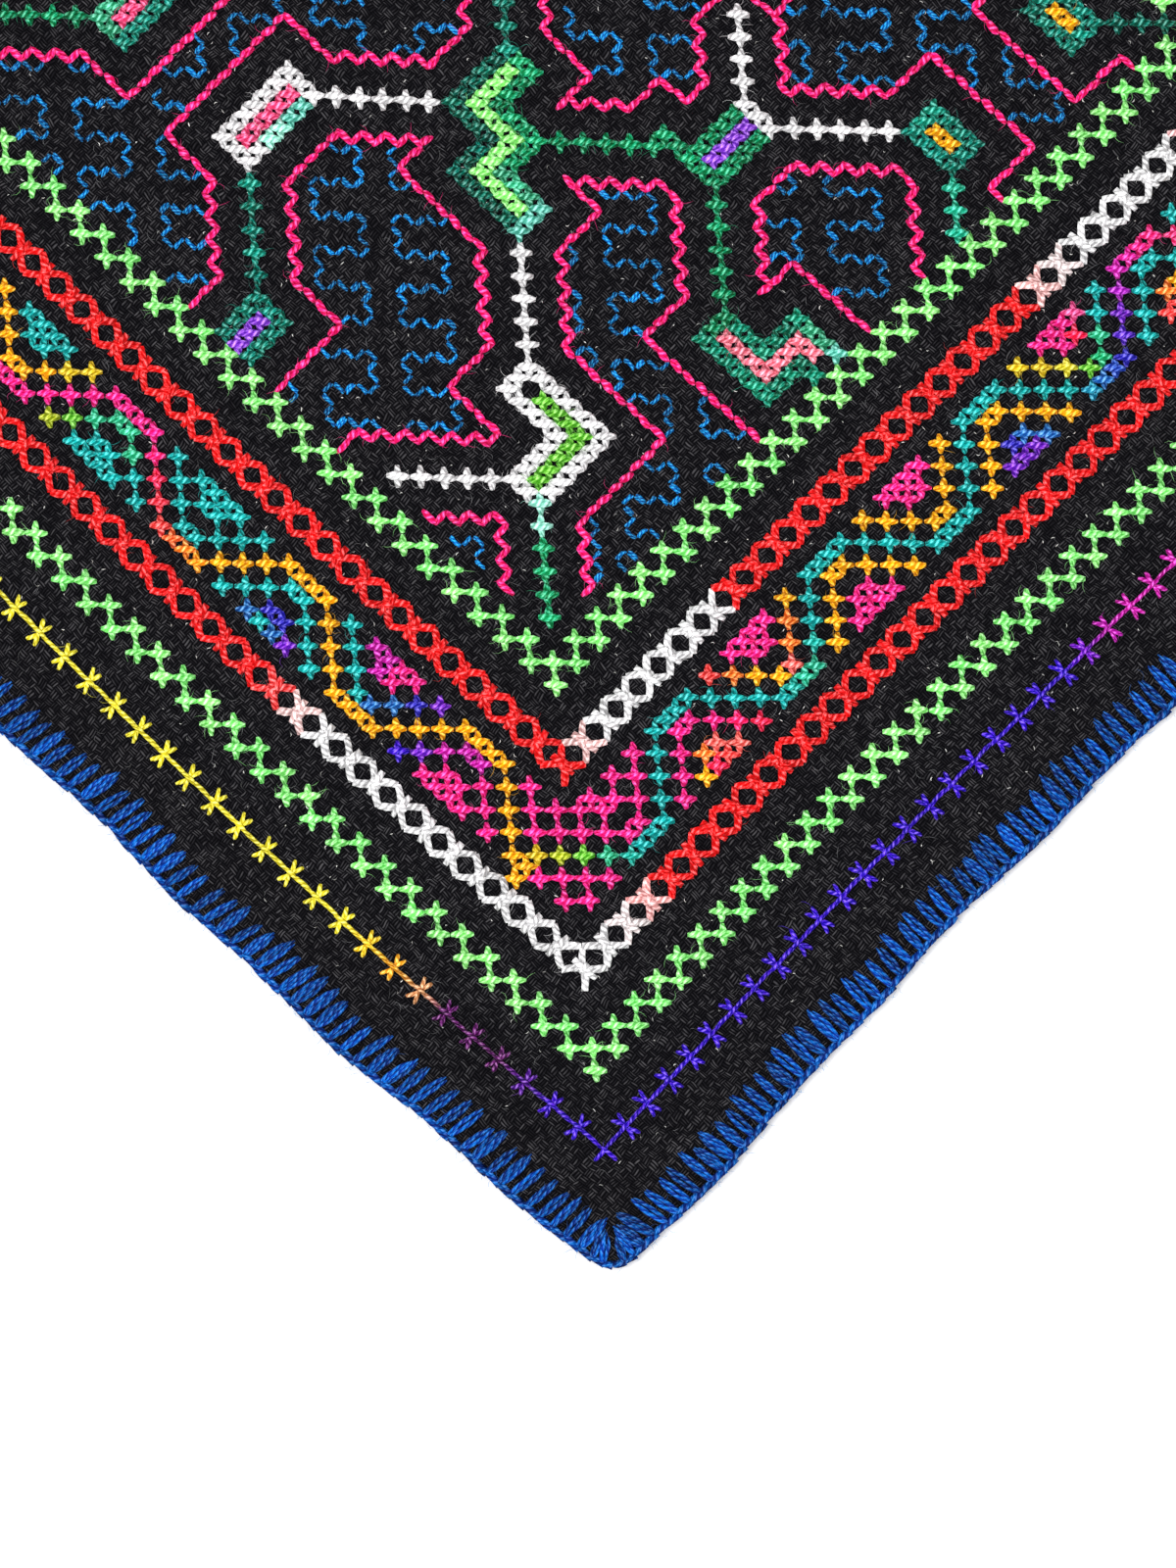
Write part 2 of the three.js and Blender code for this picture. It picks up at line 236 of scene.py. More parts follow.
PLUMP = model_strand(6, (0.5, 0.95, 1, 0.95, 0.5))
EVEN = model_strand(6, (0.62, 0.94, 1, 1, 0.94, 0.62))
CHAIN = model_strand(6, (0.72, 1, 1, 0.9))
GRAIN = model_strand(6, (0.34, 0.86, 1, 0.82, 0.34))
THIN = model_strand(5, (0.6, 1, 1, 0.6))
LONG = model_strand(5, (0.4, 0.85, 1, 1.05, 1, 0.95, 0.85))
HAIR = model_strand(3, (0.5, 1, 1, 0.3))

# Where short fibres stand out of the yarn: x, y, z and ink
FUZZ = []
# Each strand's twist starts at random within this many millimetres
TWIST_SHIFT = 5


class Sewing:
    """Strands gathered for one piece, each a bent copy of a modelled strand."""

    def __init__(self, name, shape, fuzz=0.0):
        self.name = name
        self.shape = shape
        self.fuzz = fuzz
        self.points = []
        self.inks = []
        self.turns = []
        self.lengths = []

    def strand(self, ends, heights, size, inks, bow=0.0, power=0.6):
        """ends in mm, heights = (start, middle, end) of its core, size = (width, height)."""
        (x0, y0), (x1, y1) = ends
        dx, dy = x1 - x0, y1 - y0
        length = math.hypot(dx, dy) or 1e-6
        nx, ny = -dy / length, dx / length
        t = self.shape["along"]
        arch = np.sin(np.pi * t) ** power
        swell = UNEVEN.uniform(0.9, 1.1, self.shape["ring"].max() + 1)[self.shape["ring"]]
        side = bow * np.sin(np.pi * t) + self.shape["across"] * swell * size[0] / 2
        base = heights[0] * (1 - t) + heights[2] * t
        chord = (heights[0] + heights[2]) / 2
        z = base + (heights[1] - chord) * arch + self.shape["up"] * size[1] / 2
        self.points.append(np.stack([x0 + dx * t + nx * side, y0 + dy * t + ny * side, z], 1))
        self.inks.append(inks[0] * (1 - t[:, None]) + inks[1] * t[:, None])
        self.lengths.append(length)
        self.turns.append(random.random())
        for _ in range(int(self.fuzz + random.random())):
            share = random.random()
            FUZZ.append((x0 + dx * share, y0 + dy * share, heights[1], inks[0]))

    def finish(self, material, replaced=()):
        count = len(self.points)
        per = len(self.shape["along"])
        points = np.concatenate(self.points) * MM
        faces = []
        for k in range(count):
            faces.extend([tuple(v + k * per for v in f) for f in self.shape["faces"]])
        mesh = bpy.data.meshes.new(self.name)
        mesh.from_pydata(points.tolist(), [], faces)
        ink = mesh.color_attributes.new("ink", "FLOAT_COLOR", "POINT")
        colours = np.concatenate(self.inks)
        colours = np.concatenate([colours, np.ones((len(colours), 1))], 1)
        ink.data.foreach_set("color", colours.astype(np.float32).ravel())
        self.lay_uv(mesh)
        piece = bpy.data.objects.new(self.name, mesh)
        bpy.context.scene.collection.objects.link(piece)
        deselect()
        piece.select_set(True)
        bpy.context.view_layer.objects.active = piece
        bpy.ops.object.shade_smooth()
        mesh.materials.append(material)
        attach(piece, "root")
        if replaced:
            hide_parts(*replaced)
        return piece

    def lay_uv(self, mesh):
        """U goes once round a strand and V is the distance along it in millimetres."""
        shape = self.shape
        around = np.arctan2(shape["up"], shape["across"]) / (2 * np.pi) % 1
        one = []
        for face in shape["faces"]:
            us = [around[v] for v in face]
            wraps = max(us) - min(us) > 0.5
            for v, u in zip(face, us):
                one.append((u + 1 if wraps and u < 0.5 else u, shape["along"][v]))
        one = np.array(one)
        layers = []
        for length, turn in zip(self.lengths, self.turns):
            layers.append(np.stack([one[:, 0], one[:, 1] * length + turn * TWIST_SHIFT], 1))
        layer = mesh.uv_layers.new(name="yarn")
        layer.data.foreach_set("uv", np.concatenate(layers).astype(np.float32).ravel())


# Stitches on the grid: the width and height of each kind's yarn, in millimetres

LEG = (1.5, 0.85)
FULL_LEG = (1.62, 0.9)
VINE_LEG = (1.48, 0.85)
LINE = (1.5, 1.0)
STEPPED_LINE = (1.4, 1.0)
LINK = (1.46, 0.9)
KNOT = (1.44, 0.9)
STEM = (0.88, 0.72)
BAR = (0.88, 0.7)
FINE = (0.63, 0.5)
# A cross stitch's two legs: how far each rises over the cloth, and the painted shade that darkens
# the lower one
UNDER_RISE = 0.3
OVER_RISE = 0.72
UNDER_SHADE = 0.86


def either_way(amount):
    return random.uniform(-amount, amount)


def shaken(i, j, amount):
    x, y = place(i, j)
    return x + either_way(amount), y + either_way(amount)


def stitch(work, start, end, inks, size, rise, sink=-0.12, bow=0.0, shake=0.1):
    """One strand between two points of the grid: its ends dip and its middle rises."""
    top0 = SHEET + lift_at(*start)
    top1 = SHEET + lift_at(*end)
    middle = (top0 + top1) / 2 + rise
    heights = (top0 + sink, middle, top1 + sink)
    grow = random.uniform(0.92, 1.08)
    size = (size[0] * grow, size[1])
    tint = random.uniform(0.84, 1.12)
    inks = (inks[0] * tint, inks[1] * tint)
    work.strand((shaken(*start, shake), shaken(*end, shake)), heights, size, inks, bow)


def cross(work, i, j, ink, reach=0.5, size=LEG):
    """Two legs, the one beneath a little darker: painted shade."""
    under = (ink * UNDER_SHADE, ink * UNDER_SHADE)
    bow = either_way(0.15)
    stitch(work, (i - reach, j - reach), (i + reach, j + reach), under, size, UNDER_RISE, bow=bow)
    stitch(work, (i - reach, j + reach), (i + reach, j - reach), (ink, ink), size, OVER_RISE,
           bow=-bow)


# The border is charted on the south side; the other sides are its quarter turns

def south(s, d):
    return s, d


def east(s, d):
    return CELLS - d, s


def north(s, d):
    return CELLS - s, CELLS - d


def west(s, d):
    return d, CELLS - s


def turned(point):
    return CELLS - point[0], CELLS - point[1]


SIDES = {"south": south, "east": east, "north": north, "west": west}

# Rows and reaches in cells: the stem line lies outside the border's first row, a zigzag has the
# cell where it starts, the one that it stops short of and its two rows, and the vine winds
# between two rows and repeats
STEM_ROW = -3.5
OUTER_ZIGZAG = (0, 93, (0, 1))
OUTER_CROSSES_ROW = 4.5
INNER_CROSSES_ROW = 13.5
INNER_ZIGZAG = (17, 77, (18, 17))
BAR_REACH = 0.86
BAR_SPLAY = 0.26
VINE_OUTER = 7
VINE_INNER = 11
VINE_REPEAT = 14
VINE_REACH = 0.47
BOW_SPAN = 7


def from_corner(side, s):
    """Distance along a side from the corner that the photograph shows, or from its twin."""
    return CELLS - s if side in ("west", "east") else s


# Inks along each charted side, by cells from the corner that the photograph shows

STEM_INKS = {
    "south": [(-4, "violet"), (40, "violet"), (43.5, "magenta"), (60, "magenta"),
              (72, "orange"), (85, "yellow")],
    "west": [(-4, "violet"), (0, "violet"), (4, "plum"), (9, "plum"), (11, "peach"),
             (13, "gold"), (16, "yellow"), (60, "yellow"), (75, "lime"), (90, "yellow")],
}
OUTER_INKS = {
    "south": [(4, "white"), (8, "white"), (10, "blush"), (12.5, "red"), (95, "red")],
    "west": [(4, "white"), (25, "white"), (27, "blush"), (29, "red"), (95, "red")],
}
INNER_INKS = {
    "south": [(13, "red"), (14.4, "red"), (15.5, "blush"), (17, "white"), (27.5, "white"),
              (28.9, "red"), (55.5, "red"), (57, "blush"), (60, "white"), (70, "white"),
              (72, "red")],
    "west": [(13, "red"), (80, "red")],
}
VINE_INKS = {
    "south": [(8, "mustard"), (9, "olive"), (10, "leaf"), (11, "sea"), (12.5, "teal"),
              (26.5, "teal"), (28.5, "sea"), (30.5, "teal"), (53, "teal"), (55, "azure"),
              (57, "indigo"), (59, "purple"), (61, "magenta"), (63, "hot"), (75, "orange"),
              (82, "gold")],
    "west": [(12, "gold"), (36, "gold"), (38.5, "orange"), (40, "coral"), (42, "cerise"),
             (43.5, "hot"), (55, "hot"), (58, "magenta"), (62, "purple"), (70, "teal"),
             (82, "teal")],
}
# Bows by the cell they start at: the inks of the eight crosses, then of the knot's two rows
BOW_INKS = {
    "south": {17: ("hot hot hot cerise", "gold cerise coral salmon", "orange salmon"),
              24: ("coral orange gold gold salmon orange orange gold", "hot", "hot"),
              31: ("gold", "hot", "hot"),
              38: ("gold", "hot", "hot"),
              45: ("gold", "purple purple purple azure", "indigo azure"),
              52: ("mustard mustard yellow leaf green sea teal teal", "hot hot hot rose",
                   "hot cerise"),
              59: ("teal", "coral coral orange orange", "orange gold"),
              66: ("teal indigo purple", "gold", "gold"),
              73: ("magenta hot hot", "teal", "teal")},
    "west": {14: ("hot hot hot magenta magenta magenta purple violet", "hot", "hot"),
             21: ("purple indigo azure azure teal teal teal teal", "hot hot magenta magenta",
                  "hot magenta"),
             28: ("teal", "purple azure teal azure", "indigo"),
             35: ("teal", "teal", "teal"),
             42: ("teal teal sea sea sea sea leaf olive", "teal", "teal"),
             49: ("mustard mustard gold gold gold gold gold gold", "teal", "teal"),
             56: ("gold orange coral", "teal indigo", "teal"),
             63: ("hot hot magenta", "gold", "gold"),
             70: ("magenta purple indigo", "gold orange", "gold")},
}


def spread(words, share):
    """The colour at a share from 0 to 1 along inks that are evenly apart."""
    names = words.split()
    last = max(len(names) - 1, 1)
    return blend([(k / last, name) for k, name in enumerate(names)], share)


def twin(side):
    """The charted side whose inks this side repeats."""
    return "south" if side in ("south", "north") else "west"


def sew_stem(work, side):
    """A line of long stitches, with splayed bars and a short knot over each place they meet."""
    at = SIDES[side]
    table = STEM_INKS[twin(side)]
    length = CELLS - 2 * STEM_ROW
    count = int(length / 2)
    run = length / count
    for k in range(count):
        s0 = STEM_ROW + run * k
        s1 = s0 + run
        c0 = blend(table, from_corner(side, s0))
        c1 = blend(table, from_corner(side, s1))
        stitch(work, at(s0 + 0.2, STEM_ROW), at(s1 - 0.2, STEM_ROW), (c0 * 0.85, c1 * 0.85),
               STEM, 0.3, bow=random.uniform(-0.1, 0.25))
        inks = (c0, c0)
        if k == 0:
            stitch(work, at(s0 + 0.3, STEM_ROW), at(s0 - 0.95, STEM_ROW), inks, BAR, 0.5, bow=0.1)
            stitch(work, at(s0, STEM_ROW + 0.3), at(s0, STEM_ROW - 0.95), inks, BAR, 0.6, bow=0.1)
            continue
        for out in (-1, 1):
            for aside in (-BAR_SPLAY, BAR_SPLAY):
                foot = at(s0 + aside * 1.2, STEM_ROW + out * BAR_REACH)
                head = at(s0 - aside * 0.4, STEM_ROW - out * 0.1)
                stitch(work, foot, head, inks, BAR, 0.55, bow=0.1 * out)
        stitch(work, at(s0 - 0.5, STEM_ROW), at(s0 + 0.5, STEM_ROW), inks, BAR, 0.9, bow=0.1)


def sew_zigzag(work, side, start, stop, rows):
    """Cross stitches by turns in two rows, each a little greener or yellower than the last."""
    at = SIDES[side]
    for s in range(start, stop):
        cooler = random.uniform(0, 0.5)
        ink = linear("pale green") * (1 - cooler) + linear("spring") * cooler
        cross(work, *at(s, rows[s % 2]), ink * random.uniform(0.95, 1.12), 0.5)


def sew_double_crosses(work, side, centre, inks_by_side):
    """Diamonds of four long links about each knot, which is two short strands."""
    at = SIDES[side]
    table = inks_by_side[twin(side)]
    stations = int(round((CELLS - 2 * centre) / 2))
    pitch = (CELLS - 2 * centre) / stations
    half = pitch / 2
    for k in range(stations):
        s = centre + pitch * k
        ink = blend(table, from_corner(side, s))
        for rise, ways in ((0.3, ((1, 1), (-1, -1))), (0.5, ((1, -1), (-1, 1)))):
            for along, across in ways:
                knee = at(s + half * along * 1.02, centre + across * 0.94)
                start = at(s - 0.1 * along, centre - 0.1 * across)
                bow = random.uniform(0.1, 0.32) * along * across
                tone = random.uniform(0.86, 1.06)
                # Painted shade: each link is darker at its inner end, where it lies under the knot
                inks = (ink * tone * 0.8, ink * tone)
                stitch(work, start, knee, inks, LINK, rise, 0.1, bow, shake=0.1)
        lean = random.uniform(-0.12, 0.16)
        inks = (ink * random.uniform(0.84, 1.04), ink * random.uniform(0.84, 1.04))
        stitch(work, at(s + lean, centre - 0.86), at(s - lean, centre + 0.86), inks, KNOT, 0.95,
               bow=either_way(0.2), shake=0.14)
        stitch(work, at(s - 0.4, centre), at(s + 0.4, centre), (ink, ink), KNOT, 1.05, shake=0.14)


def sew_vine(work, side):
    """The winding stem, then the bows in its bends: eight crosses each, and a filled knot."""
    at = SIDES[side]
    table = VINE_INKS[twin(side)]
    bends = [(8, VINE_INNER)]
    for k in range(5):
        s = 12 + VINE_REPEAT * k
        bends += [(s, VINE_OUTER), (s + 3, VINE_OUTER), (s + 7, VINE_INNER), (s + 10, VINE_INNER)]
    bends.append((82, VINE_OUTER))
    cells = []
    for (s0, d0), (s1, d1) in zip(bends, bends[1:]):
        for k in range(s1 - s0):
            cells.append((s0 + k, d0 + (d1 - d0) * k // (s1 - s0)))
    cells.append(bends[-1])
    for s, d in cells:
        cross(work, *at(s, d), blend(table, from_corner(side, s)), VINE_REACH, VINE_LEG)
    bows = [(24 + VINE_REPEAT * k, VINE_INNER, -1) for k in range(4)]
    bows += [(17 + VINE_REPEAT * k, VINE_OUTER, 1) for k in range(5)]
    for s0, row, way in bows:
        start = s0 if twin(side) == "south" else CELLS - s0 - BOW_SPAN
        arms, outer_row, inner_row = BOW_INKS[twin(side)][start]
        for k in range(BOW_SPAN + 1):
            d = row + way * min(k, BOW_SPAN - k)
            ink = spread(arms, (from_corner(side, s0 + k) - start) / BOW_SPAN)
            cross(work, *at(s0 + k, d), ink, VINE_REACH, VINE_LEG)
        for d, ks, words in ((row, (2, 3, 4, 5), outer_row), (row + way, (3, 4), inner_row)):
            for k in ks:
                share = from_corner(side, s0 + k) - start - ks[0]
                ink = spread(words, share / (len(ks) - 1))
                cross(work, *at(s0 + k, d), ink, 0.5, VINE_LEG)


CORNER_CELLS = {
    "gold": [(6, 11), (7, 11)],
    "hot": [(11, 14), (10, 13), (9, 12), (11, 12), (7, 10), (8, 9), (9, 8), (10, 7), (7, 8),
             (8, 7), (10, 11), (11, 10), (12, 9), (13, 8), (14, 8), (15, 9), (16, 10), (17, 11),
             (12, 11), (13, 11), (15, 11), (13, 10), (14, 10)],
}


def sew_corner(work, side):
    for name, cells in CORNER_CELLS.items():
        for cell in cells:
            cross(work, *SIDES[side](*cell), linear(name), 0.5, VINE_LEG)


def sew_vine_side(work, side):
    sew_vine(work, side)
    sew_corner(work, side)


# The field's motifs as rows of (ink, first cell, last cell); those in MOTIFS are sewn twice,
# the second time turned end for end

MOTIFS = [
    ("white", (25, 25), (31, 25)), ("white", (25, 27), (29, 27)), ("white", (25, 26), (25, 26)),
    ("white", (29, 28), (29, 31)), ("white", (31, 26), (31, 31)), ("white", (30, 31), (30, 31)),
    ("mint", (25, 25), (25, 25)),
    ("leaf", (26, 26), (30, 26)), ("leaf", (30, 27), (30, 29)),
    ("white", (20, 32), (24, 28)), ("mint", (24, 24), (24, 24)), ("green", (20, 20), (23, 23)),
    ("white", (32, 32), (36, 36)),
    ("aqua", (37, 37), (39, 37)), ("bottle", (37, 38), (37, 42)), ("jade", (39, 38), (39, 40)),
    ("bottle", (38, 42), (40, 42)), ("emerald", (40, 40), (42, 40)),
    ("bottle", (40, 43), (40, 45)), ("emerald", (42, 41), (42, 43)),
    ("bottle", (41, 45), (44, 45)), ("emerald", (43, 43), (45, 43)), ("green", (45, 44), (45, 44)),
    ("pine", (45, 45), (45, 45)),
    ("lime", (38, 38), (38, 41)), ("lime", (39, 41), (41, 41)), ("lime", (41, 42), (41, 44)),
    ("lime", (42, 44), (44, 44)),
    ("emerald", (43, 39), (46, 36)),
    ("emerald", (47, 35), (48, 35)), ("emerald", (48, 34), (48, 31)),
    ("emerald", (49, 31), (52, 31)), ("emerald", (49, 33), (52, 33)),
    ("lilac", (49, 32), (52, 32)), ("white", (53, 31), (53, 33)),
    ("white", (54, 30), (58, 26)), ("emerald", (43, 26), (47, 30)),
    ("dark green", (40, 20), (40, 25)), ("emerald", (41, 25), (42, 25)),
    ("dark green", (42, 22), (42, 24)), ("dark green", (43, 22), (45, 22)),
    ("jade", (45, 20), (45, 21)), ("aqua", (45, 19), (45, 19)),
    ("dark green", (41, 20), (43, 20)), ("dark green", (43, 19), (43, 19)),
    ("blossom", (41, 24), (41, 21)), ("blossom", (42, 21), (44, 21)),
    ("blossom", (44, 20), (44, 20)),
    ("pine", (59, 22), (61, 22)), ("pine", (59, 25), (61, 25)),
    ("pine", (59, 23), (59, 24)), ("pine", (61, 23), (61, 24)),
    ("gold", (60, 23), (60, 24)), ("lagoon", (56, 19), (58, 21)),
    ("pine", (70, 22), (72, 22)), ("pine", (70, 25), (72, 25)),
    ("pine", (70, 23), (70, 24)), ("pine", (72, 23), (72, 24)),
    ("gold", (71, 23), (71, 24)), ("bottle", (73, 21), (75, 19)),
    ("white", (28, 51), (29, 51)), ("mint", (30, 51), (31, 51)), ("aqua", (32, 51), (33, 51)),
    ("white", (28, 53), (34, 53)), ("white", (28, 52), (28, 52)), ("white", (34, 51), (34, 52)),
    ("flamingo", (29, 52), (33, 52)), ("white", (35, 50), (39, 46)), ("pine", (23, 46), (27, 50)),
    ("lilac", (19, 44), (21, 44)), ("pine", (19, 43), (22, 43)),
    ("pine", (19, 45), (22, 45)), ("pine", (22, 44), (22, 44)),
]
MOTIFS_ONCE = [
    ("white", (54, 34), (57, 37)), ("pine", (46, 46), (48, 48)),
    ("white", (40, 60), (39, 59)),
    ("jade", (28, 63), (34, 63)), ("pine", (28, 61), (34, 61)), ("jade", (28, 62), (28, 62)),
    ("pine", (34, 62), (34, 62)), ("flamingo", (29, 62), (33, 62)),
    ("emerald", (27, 64), (23, 68)),
]
# The green yarns whose tone changes from stitch to stitch
MOTTLED = ("dark green", "bottle", "emerald", "pine", "jade", "lagoon")


def cells_between(first, last):
    """The cells on a straight or diagonal run, with both of its ends."""
    steps = max(abs(last[0] - first[0]), abs(last[1] - first[1]))
    for k in range(steps + 1):
        t = k / max(steps, 1)
        yield (round(first[0] + (last[0] - first[0]) * t),
               round(first[1] + (last[1] - first[1]) * t))


def sew_motifs(work):
    charted = {}
    for ink, first, last in MOTIFS:
        for cell in cells_between(first, last):
            charted[cell] = ink
            charted[turned(cell)] = ink
    for ink, first, last in MOTIFS_ONCE:
        for cell in cells_between(first, last):
            charted[cell] = ink
    for (i, j), name in charted.items():
        ink = linear(name)
        if name in MOTTLED:
            paler = random.uniform(0, 0.15)
            ink = (ink * (1 - paler) + linear("jade") * paler) * random.uniform(0.72, 1.2)
        cross(work, i, j, ink, 0.5, FULL_LEG)


# Line work: a start, then unit steps. 4EN is EN four times and E6 is E six times

PINK_BOTH = [
    (18.5, 40.5, "E6 N4 4EN E5 3SE S"),
    (18.5, 35.5, "E2 5SE SE N4 E4 4NE N7 E3"),
    (19.5, 29.5, "3SE S 3WS"),
    (22.5, 19.5, "3EN E8 N8 4EN E4 N2 3ES E S2 4WS W4 S9"),
    (41.5, 36.5, "N"),
    (47.5, 18.5, "N6 W3"),
    (45.5, 24.5, "N 3EN E4 4SE S2 4WS"),
    (44.5, 40.5, "E3 N4 EN"),
    (45.5, 40.5, "2SE S E3 S2 E2 3NE"),
    (18.5, 47.5, "E3 4NE N4 E11 S4 4ES E4 NE"),
]
PINK_ONCE = [
    (59.5, 18.5, "N E4 N8 W4 4NW N 3EN E10 S4 4ES W5 S8 E4 S"),
    (58.5, 35.5, "N3"),
    (55.5, 38.5, "E3"),
    (35.5, 58.5, "W10 N4 6WN W"),
    (34.5, 75.5, "S W4 S8 E4 4SE S 3WS"),
    (22.5, 75.5, "S E4 S8 E4"),
    (35.5, 58.5, "3ES"),
]
TOOTH = "NENESESENENWNW"
BLUE_BOTH = [
    (24.5, 40.5, "ESENENWNW" + TOOTH + "NENESESENENWN"), (18.5, 39.5, "EN"),
    (22.5, 40.5, "SESESWSWNWNWSWSESES"), (22.5, 33.5, "ESESENE"),
    (26.5, 33.5, "WNW" + TOOTH + TOOTH + "NENESESE"), (35.5, 45.5, "WSWSE"),
    (19.5, 27.5, "SESWS"), (26.5, 22.5, "SWSWSW"), (25.5, 18.5, "NES"),
    (28.5, 18.5, "NWNENESESENENWN"), (33.5, 18.5, "NES"), (33.5, 22.5, "ENENWNW"),
    (37.5, 22.5, "WSWSESE"), (33.5, 26.5, "ENESESE"), (33.5, 28.5, "ENW"),
    (34.5, 30.5, "ENEN"), (38.5, 34.5, "SW"), (37.5, 27.5, "NW" + TOOTH + "NENESESENENWN"),
    (42.5, 35.5, "SE"), (48.5, 27.5, "SESWSWNW"), (50.5, 28.5, "SEN"),
    (53.5, 26.5, "WSESESWSWNWNWSWSESESWSWNWNW"), (47.5, 40.5, "ESENENWNWNEN"),
    (52.5, 36.5, "WNWNENESES"), (55.5, 39.5, "WNWN"),
    (67.5, 24.5, "WSWSESE"), (63.5, 21.5, "ESESENE"), (63.5, 27.5, "ESESWSW"),
    (18.5, 49.5, "ESES"), (22.5, 49.5, "WNWNENESES"), (18.5, 52.5, "ENENWNW"),
    (25.5, 52.5, "WNWNENE"), (18.5, 56.5, "ENESESENENWNWNENESESE"), (18.5, 59.5, "ESW"),
    (18.5, 61.5, "ESENENWNWN"), (25.5, 61.5, "WN"), (23.5, 63.5, "WNWN"),
    (27.5, 57.5, "WSES"), (28.5, 58.5, "SESENEN"), (32.5, 55.5, "NENESES"),
    (38.5, 55.5, "SWSESESWS"), (39.5, 49.5, "ESENESESE"),
]
BLUE_ONCE = [
    (57.5, 33.5, "ESWSWN"), (58.5, 29.5, "ESES"), (58.5, 29.5, "NENESESENENWNWN"),
    (59.5, 35.5, "SE"), (60.5, 33.5, "ENESESENENWN"), (63.5, 27.5, "NENESESENE"),
    (36.5, 55.5, "NE"),
]
STEPS = {"E": (1, 0), "W": (-1, 0), "N": (0, 1), "S": (0, -1)}


def walk(i, j, route):
    """The points of a route, with the counts before or after its words spelled out."""
    steps = ""
    for word in route.split():
        before, letters, after = re.fullmatch(r"(\d*)([NESW]+)(\d*)", word).groups()
        steps += letters * int(before or after or 1)
    points = [(i, j)]
    for step in steps:
        i, j = i + STEPS[step][0], j + STEPS[step][1]
        points.append((i, j))
    return points


def unit_steps(both, once):
    """Every unit stitch of these lines and of their turned copies, each only once."""
    lines = []
    for row in both:
        points = walk(*row)
        lines += [points, [turned(point) for point in points]]
    lines += [walk(*row) for row in once]
    seen = {}
    for points in lines:
        for a, b in zip(points, points[1:]):
            seen.setdefault((min(a, b), max(a, b)), (a, b))
    return list(seen.values())


def sew_lines(work, ink, steps):
    """Stitches end to end: slanted grains on a straight run, a full wave on a stepped one."""
    colour = linear(ink)
    before = None
    for count, (a, b) in enumerate(steps):
        bow = 0.12 if count % 2 else -0.12
        run = (b[0] - a[0], b[1] - a[1])
        lean, over, size = (0.12, 0.06, LINE) if run == before else (0, 0.18, STEPPED_LINE)
        before = run
        slant = (-run[1] * lean, run[0] * lean)
        start = (a[0] - run[0] * over + slant[0], a[1] - run[1] * over + slant[1])
        end = (b[0] + run[0] * over - slant[0], b[1] + run[1] * over - slant[1])
        stitch(work, start, end, (colour, colour), size, 0.5, -0.25, bow, 0.1)


def sew_fine_lines(work, steps):
    """Two fine plies a stitch, one laid across the other, each stitch a loose dash."""
    colour = linear("blue")
    for a, b in steps:
        run = (b[0] - a[0], b[1] - a[1])
        across = (-run[1] * 0.075, run[0] * 0.075)
        crossed = random.choice((1, 1, -1))
        tone = random.uniform(0.5, 1.15)
        inks = (colour * tone * random.uniform(0.7, 1), colour * tone)
        bow = either_way(0.28)
        for sign in (-1, 1):
            trim = random.uniform(-0.02, 0.1)
            aside = (across[0] * sign, across[1] * sign)
            start = (a[0] + aside[0] + run[0] * trim, a[1] + aside[1] + run[1] * trim)
            end = (b[0] - aside[0] * crossed - run[0] * trim,
                   b[1] - aside[1] * crossed - run[1] * trim)
            stitch(work, start, end, inks, FINE, 0.3 + 0.1 * sign, -0.28, bow, 0.08)


# The edging: teeth of yarn over both faces, and a corded rim, in millimetres

TOOTH_STRAND = (0.83, 0.7)
TOOTH_REACH = 8.5
TOOTH_ARCH = 0.45
TOOTH_HEAD = 1.9
BACK_STRAND = (0.8, 0.5)
BACK_HEIGHTS = (0.95, 0.55, 1.1)
RIM_DEPTH = 0.85
RIM_STRAND = (1.42, 0.95)
# The rim's two strands: the height of each one's core and its depth from the edge
RIM_CORES = ((1.95, 0.9), (1.1, 1.22))
RIM_RUN = 0.66
# A side's own coordinates: s along it and d in from the edge
RIM_SIDES = {
    "south": lambda s, d: (s, d),
    "east": lambda s, d: (WIDTH - d, s),
    "north": lambda s, d: (WIDTH - s, HEIGHT - d),
    "west": lambda s, d: (d, HEIGHT - s),
}
# How far a tooth's outer end leans along the rim, in mm: by the fanned corner and far from it
LEANS = {"south": (2.2, -0.8), "west": (0.2, -1.7)}
LEAN_FADES = 25
FIRST_ROOT = 3.3
# In a corner the feet start this far along, and further by a share of the root's distance
FAN_START = 5.6
FAN_SHARE = 0.3


def side_length(side):
    return WIDTH if twin(side) == "south" else HEIGHT


def rim_place(side, s, d):
    return place(*rim_cell(*RIM_SIDES[side](s, d)))


def tooth_foot(root, length, lean):
    """Where a tooth with this root starts: in the corners the teeth fan out of one spot."""
    near = FAN_START + FAN_SHARE * root
    far = FAN_START + FAN_SHARE * (length - root)
    foot = min(max(root - lean, near), length - far)
    return foot, min(TOOTH_REACH, min(foot, length - foot) - 0.3)


